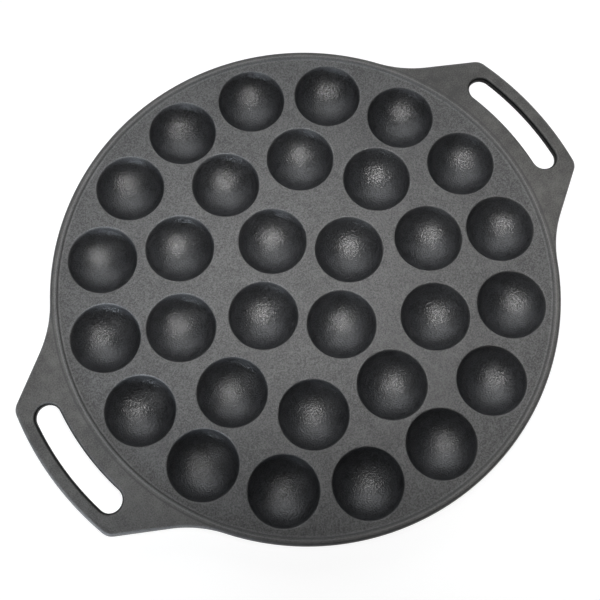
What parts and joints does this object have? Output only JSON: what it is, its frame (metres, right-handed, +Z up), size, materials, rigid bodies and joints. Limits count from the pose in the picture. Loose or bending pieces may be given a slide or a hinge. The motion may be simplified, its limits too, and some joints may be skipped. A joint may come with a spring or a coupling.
{
  "type": "poffertjes pan",
  "caption": "Round cast-iron pan with rings of half-round wells for small puffed pancakes, a low rim and two flat slotted side handles.",
  "frame": {"origin": "centre of the pan on the ground plane that the small flats under its wells stand on", "axes": "+Z up, out of the wells' mouths; +X along the line through both handles; +Y across the pan"},
  "size_m": [0.363, 0.3, 0.0191],
  "materials": {
    "seasoned_iron": "nearly matt dark grey, fine sand-cast grain under a baked-on oil film"
  },
  "bodies": {
    "root": {"pan_casting": "seasoned_iron"}
  },
  "joints": []
}
